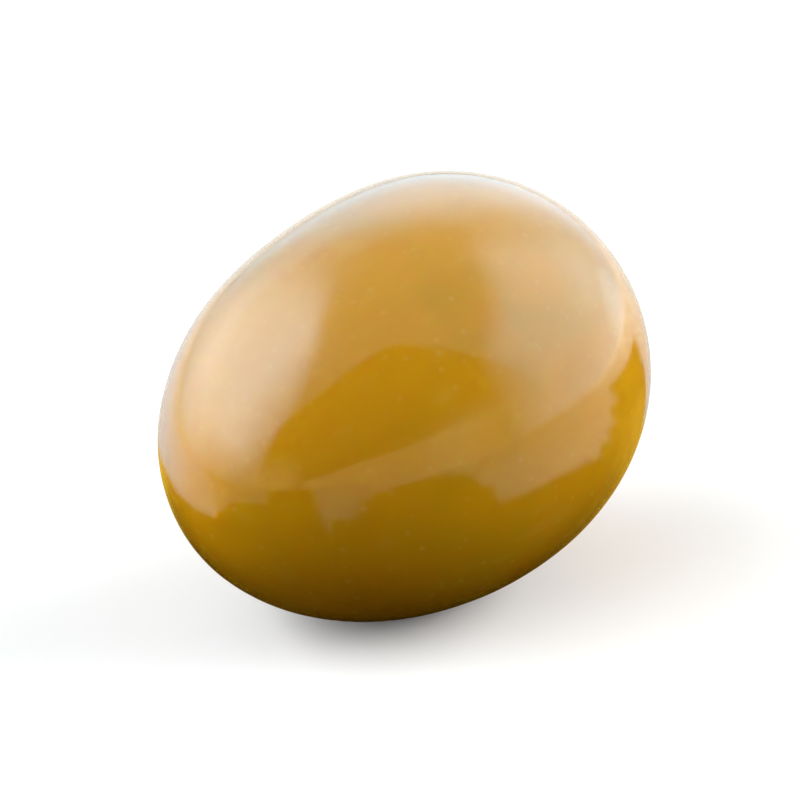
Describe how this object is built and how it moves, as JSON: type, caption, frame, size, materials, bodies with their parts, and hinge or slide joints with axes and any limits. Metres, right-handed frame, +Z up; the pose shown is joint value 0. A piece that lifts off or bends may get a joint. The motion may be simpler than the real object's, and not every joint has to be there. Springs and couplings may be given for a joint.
{
  "type": "green olive",
  "caption": "Whole unpitted green table olive: an egg-shaped fruit with a small stalk pit at its fuller end, lying on its side.",
  "frame": {"origin": "under the middle of the fruit, level with the flat spot that it rests on", "axes": "+X from the tip to the stem end, +Y to the side, +Z up"},
  "size_m": [0.0296, 0.022, 0.0212],
  "materials": {
    "olive_skin": "smooth fruit skin, golden olive green, wet and glossy with brine"
  },
  "bodies": {
    "root": {"olive": "olive_skin"}
  },
  "joints": []
}
